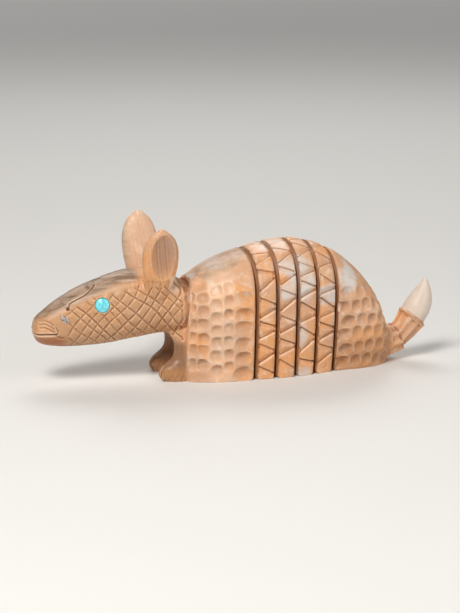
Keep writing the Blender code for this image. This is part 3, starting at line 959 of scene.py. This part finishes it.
def stone_colour(finish, x, y, z):
    """The colour of fresh stone before tool or wear, with painted shade on legs, lower rump and a tail joint.
    """
    wide = finish.noise(finish.place, 0.11, 3.0, 0.5, 0.6)
    middle = finish.noise(finish.place, 0.34, 4.0, 0.6, 0.5)
    small = finish.noise(finish.place, 1.3, 4.0, 0.65)
    colour = finish.mix(finish.ease(wide, 0.40, 0.62), PEACH, ORANGE)
    cream_zone = finish.ease((x + 6.5).size(), 4.2, 1.2) * finish.ease(x, -14.0, -11.0) * 0.45
    colour = finish.mix(finish.ease(middle, 0.52, 0.70) * 0.7 + cream_zone, colour, CREAM)
    milky = finish.ease(finish.noise(finish.place, 0.8, 5.0, 0.66, 1.4), 0.50, 0.68)
    colour = finish.mix(milky * 0.38, colour, CHALK)
    ear = finish.ease(z + middle * 5.0, 21.5, 27.0) * finish.ease(x, -25.5, -24.5)
    head = finish.ease(x, -13.4, -15.0) * (1 - ear * 0.85)
    colour = finish.mix(head * (0.55 + middle * 0.40), colour, TAN)
    layers = finish.vector("MULTIPLY", finish.place, (0.09, 0.35, 0.75))
    layer = finish.noise(layers, 1.0, 5.0, 0.62, 0.9)
    cap_line = (x + 42.0) * 0.43 + 15.6
    on_head = finish.ease(z - cap_line.least(22.3), -0.7, 0.9) * finish.ease(x, -22.0, -24.5)
    cap = finish.mix(finish.ease(layer, 0.40, 0.56), DARK_CAP, CAP)
    colour = finish.mix(on_head * (0.68 + middle * 0.5), colour, cap)
    crown = finish.ease(z - (x + 17.0) * 0.41 + middle * 3.0, 19.6, 21.6)
    crown = crown * finish.ease(x, -15.0, -14.0) * finish.ease(x, 3.5, 0.5)
    streaks = finish.mix(finish.ease(layer, 0.44, 0.56), (0.27, 0.145, 0.07), (0.42, 0.25, 0.14))
    colour = finish.mix(crown * 0.85, colour, streaks)
    colour = finish.mix(ear * finish.ease(y, 0.0, 2.0) * (0.15 + middle * 0.45), colour, CREAM)
    chin = finish.ease(z, 11.6, 10.2) * finish.ease(x, -38.0, -40.5)
    colour = finish.mix(chin * 0.85, colour, (0.38, 0.115, 0.032))
    # The legs: their own brown, orange at the toes, darkened further by painted shade under the head.
    leg = finish.ease(z, 9.5, 7.5) * finish.ease(x, -13.0, -14.2)
    colour = finish.mix(leg * 0.85, colour, finish.mix(finish.ease(z, 1.8, 4.0), TOE, LEG_BROWN_AND_SHADE))
    # Painted shade: the lower rump is darkened with the leg colour.
    lower_rump_shade = finish.ease(x, 18.0, 22.0) * finish.ease(x, 35.5, 34.0) * finish.ease(z, 11.0, 3.0)
    colour = finish.mix(lower_rump_shade * 0.45, colour, LEG_BROWN_AND_SHADE)
    up_tail = (x - high.x / MM) * 0.55 + z * 0.83
    on_tail = finish.ease(x, high.x / MM - 11.0, high.x / MM - 10.0)
    colour = finish.mix(finish.ease(up_tail, 5.2, 6.0) * on_tail * 0.85, colour, IVORY)
    # Painted shade: a dark line along the first joint of the tail, as shade in its crease.
    joint_crease_shade = finish.ease((up_tail - 5.1).size(), 0.40, 0.12) * on_tail
    colour = finish.mix(joint_crease_shade * 0.55, colour, CUT_DUST_AND_SHADE)
    colour = finish.mix(vein_mask(finish, x, z), colour, CHALK)
    ragged = finish.noise(finish.place, 1.6, 3.0, 0.6) * 1.4 - 0.7
    down, beside = (x - z) * 0.7 + 37.8 + ragged, (x + z) * 0.7 + 17.1 - ragged
    quartz = finish.ease(down * down * 0.45 + beside * beside * 1.6, 1.0, 0.3) * finish.ease(y, 0.0, -1.0)
    crystal = finish.ease(finish.noise(finish.place, 2.6, 2.0), 0.42, 0.58)
    colour = finish.mix(quartz, colour, finish.mix(crystal, QUARTZ, FROST))
    fleck = finish.ease(small, 0.66, 0.76) * finish.ease(middle, 0.45, 0.6)
    colour = finish.mix(fleck * 0.35, colour, UMBER)
    return finish.mix((small - 0.5).size() * 0.5, colour, CREAM), small, layer


# %% Cut dust, wear, painted shade, painted highlights and polish of the stone
stone = Finish("veined_travertine")
x, y, z = stone.axes(stone.place)
names = ("worked", "bulge", "hollow", "crack")
worked, swell, hollow, crack = (stone.attribute(name) for name in names)
colour, small, layer = stone_colour(stone, x, y, z)

cut_floor = 0.0
for centre in cuts:
    near = stone.ease((x - centre / MM).size(), 0.40, 0.24)
    cut_floor = near if cut_floor == 0.0 else cut_floor.most(near)
valley_shade = stone.ease(swell, -0.01, -0.10)
edge_wear_and_highlight = stone.ease(swell, 0.015, 0.11)
# Painted shade: the hollows of the ears are darkened to a mauve-brown.
colour = stone.mix(hollow * 0.75, colour, EAR_HOLLOW_SHADE)
# Painted highlight: the top of the collar is painted cream, as if lit from above.
collar_top_highlight = stone.ease((x + 15.9).size(), 1.7, 0.9) * stone.ease(z, 19.0, 20.6) * stone.ease(z, 24.0, 23.0)
colour = stone.mix(collar_top_highlight * 0.8, colour, CREAM)
# Tool marks are painted burnt orange, partly as polishing dust and partly as painted shade; hollows of the
# surface get painted shade.
colour = stone.mix(worked * 0.38 + valley_shade * 0.58, colour, CUT_DUST_AND_SHADE)
# Bulging edges are painted pale, partly as rubbed wear and partly as painted highlight.
colour = stone.mix(edge_wear_and_highlight * (0.20 + small * 0.50), colour, CREAM)
# Painted shade: the floor of every saw cut is darkened.
colour = stone.mix(cut_floor * 0.9, colour, CUT_FLOOR_SHADE)
colour = stone.mix(crack * 0.8, colour, (0.085, 0.05, 0.035))
stone.feed("Base Color", colour)

polish = 0.34 + small * 0.14 + valley_shade * 0.18 - edge_wear_and_highlight * 0.08 + cut_floor * 0.2
stone.feed("Roughness", polish.least(0.85))
strokes = stone.vector("MULTIPLY", stone.place, (2.6, 2.6, 0.5))
scratch = stone.noise(strokes, 1.6, 3.0, 0.7)
pores = stone.ease(stone.noise(stone.place, 5.0, 2.0, 0.5), 0.70, 0.60)
relief = scratch * 0.5 + pores * 0.5 + small * 0.6
stone.feed("Normal", stone.bump(relief, 0.35, 0.05 * MM))
stone.shader.inputs["IOR"].default_value = 1.5
for piece in stone_pieces:
    piece.data.materials.append(stone.material)
print("stone finish:", len(stone.tree.nodes), "nodes")

# %% [markdown]
# ## The turquoise
# Good turquoise is an even, waxy blue. It is only faintly mottled, with a few darker pin-points, and takes
# a brighter polish than the stone round it.

# %% Turquoise finish
turquoise = Finish("waxy_turquoise")
cloud = turquoise.noise(turquoise.place, 1.1, 4.0, 0.6)
speck = turquoise.ease(turquoise.noise(turquoise.place, 4.5, 2.0), 0.64, 0.72)
blue = turquoise.mix(turquoise.ease(cloud, 0.35, 0.65), (0.13, 0.62, 0.74), (0.24, 0.80, 0.88))
blue = turquoise.mix(speck * 0.45, blue, (0.06, 0.36, 0.44))
turquoise.feed("Base Color", blue)
turquoise.feed("Roughness", 0.20 + cloud * 0.12)
turquoise.feed("Normal", turquoise.bump(cloud + speck * 0.3, 0.15, 0.04 * MM))
for eye in eyes:
    eye.data.materials.append(turquoise.material)
print("turquoise finish:", len(turquoise.tree.nodes), "nodes")

# %% [markdown]
# ## Joining the pieces to the imported model
# Every visible piece rides on the one body, and the imported nodes that the pieces stand in for are hidden.

# %% Ride on the body, and hide the imported nodes
for piece in stone_pieces:
    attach(piece, "root")
    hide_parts("stone_carving")
for eye, node in zip(eyes, ("left_eye", "right_eye")):
    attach(eye, "root")
    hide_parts(node)
print(len(stone_pieces) + len(eyes), "visible pieces")

# %% [markdown]
# ## A pale table and soft light
# A small carving is lit like a jewel: a soft box above and a little in front, a weak one to the right, and
# one behind that draws the top edge. A wide one, far back, keeps the pale table even.

# %% Floor, lights and world
bpy.ops.object.select_all(action="DESELECT")
bpy.ops.mesh.primitive_plane_add(size=12, location=(0, 0, low.z))
floor = bpy.context.object
floor.name = "pale_table"
floor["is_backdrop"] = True
table = Finish("pale_table_paint")
tone = table.noise(table.metres, 3.0, 2.0)
table.feed("Base Color", table.mix(tone, (0.72, 0.71, 0.69), (0.76, 0.75, 0.73)))
table.feed("Roughness", 0.75)
floor.data.materials.append(table.material)


def soft_box(name, place, size, power, warmth):
    lamp = bpy.data.lights.new(name, "AREA")
    lamp.energy, lamp.size, lamp.color = power, size, warmth
    holder = bpy.data.objects.new(name, lamp)
    bpy.context.scene.collection.objects.link(holder)
    holder.location = place
    aim = Vector((0, 0, 0.015)) - Vector(place) if place[1] < 1 else Vector((0, 0, -1))
    holder.rotation_euler = aim.to_track_quat("-Z", "Y").to_euler()


soft_box("key", (-0.25, -0.30, 0.44), 0.20, 2.8, (1.0, 0.97, 0.93))
soft_box("fill", (0.42, -0.40, 0.30), 0.45, 1.1, (1.0, 0.98, 0.96))
soft_box("back", (0.12, 0.40, 0.45), 0.30, 0.8, (1.0, 0.98, 0.95))
soft_box("ceiling", (0.0, 3.4, 2.4), 3.0, 60.0, (1.0, 0.99, 0.97))
world = bpy.data.worlds.new("studio")
world.use_nodes = True
world.node_tree.nodes["Background"].inputs["Color"].default_value = (0.90, 0.92, 0.95, 1)
world.node_tree.nodes["Background"].inputs["Strength"].default_value = 0.12
bpy.context.scene.world = world
bpy.context.scene.view_settings.view_transform = "Standard"

# %% [markdown]
# ## The camera
# The camera looks from the animal's left, a little from its head end, and slightly down. A long lens keeps
# the proportions flat.

# %% Camera
AIM = Vector((-0.0026, -0.00275, 0.015))
azimuth, elevation, distance = math.radians(-16), math.radians(13), 0.42
back = Vector(
    (math.sin(azimuth) * math.cos(elevation), -math.cos(azimuth) * math.cos(elevation), math.sin(elevation))
)
camera = bpy.data.objects.new("camera", bpy.data.cameras.new("camera"))
bpy.context.scene.collection.objects.link(camera)
camera.location = AIM + back * distance
camera.rotation_euler = (-back).to_track_quat("-Z", "Y").to_euler()
camera.data.lens = 113.7
camera.data.clip_start = 0.01
bpy.context.scene.camera = camera

# %% [markdown]
# ## Is it still the right size?
# Marks go inwards, and the lips swell only into the mouth, so the finished model may not be larger than
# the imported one.

# %% Compare the sizes
sizes = {"cad": [list(corner) for corner in cad_box], "visual": [list(corner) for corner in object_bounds()]}
for name, (lower, upper) in sizes.items():
    print(name, [round((b - a) / MM, 2) for a, b in zip(lower, upper)], "mm")
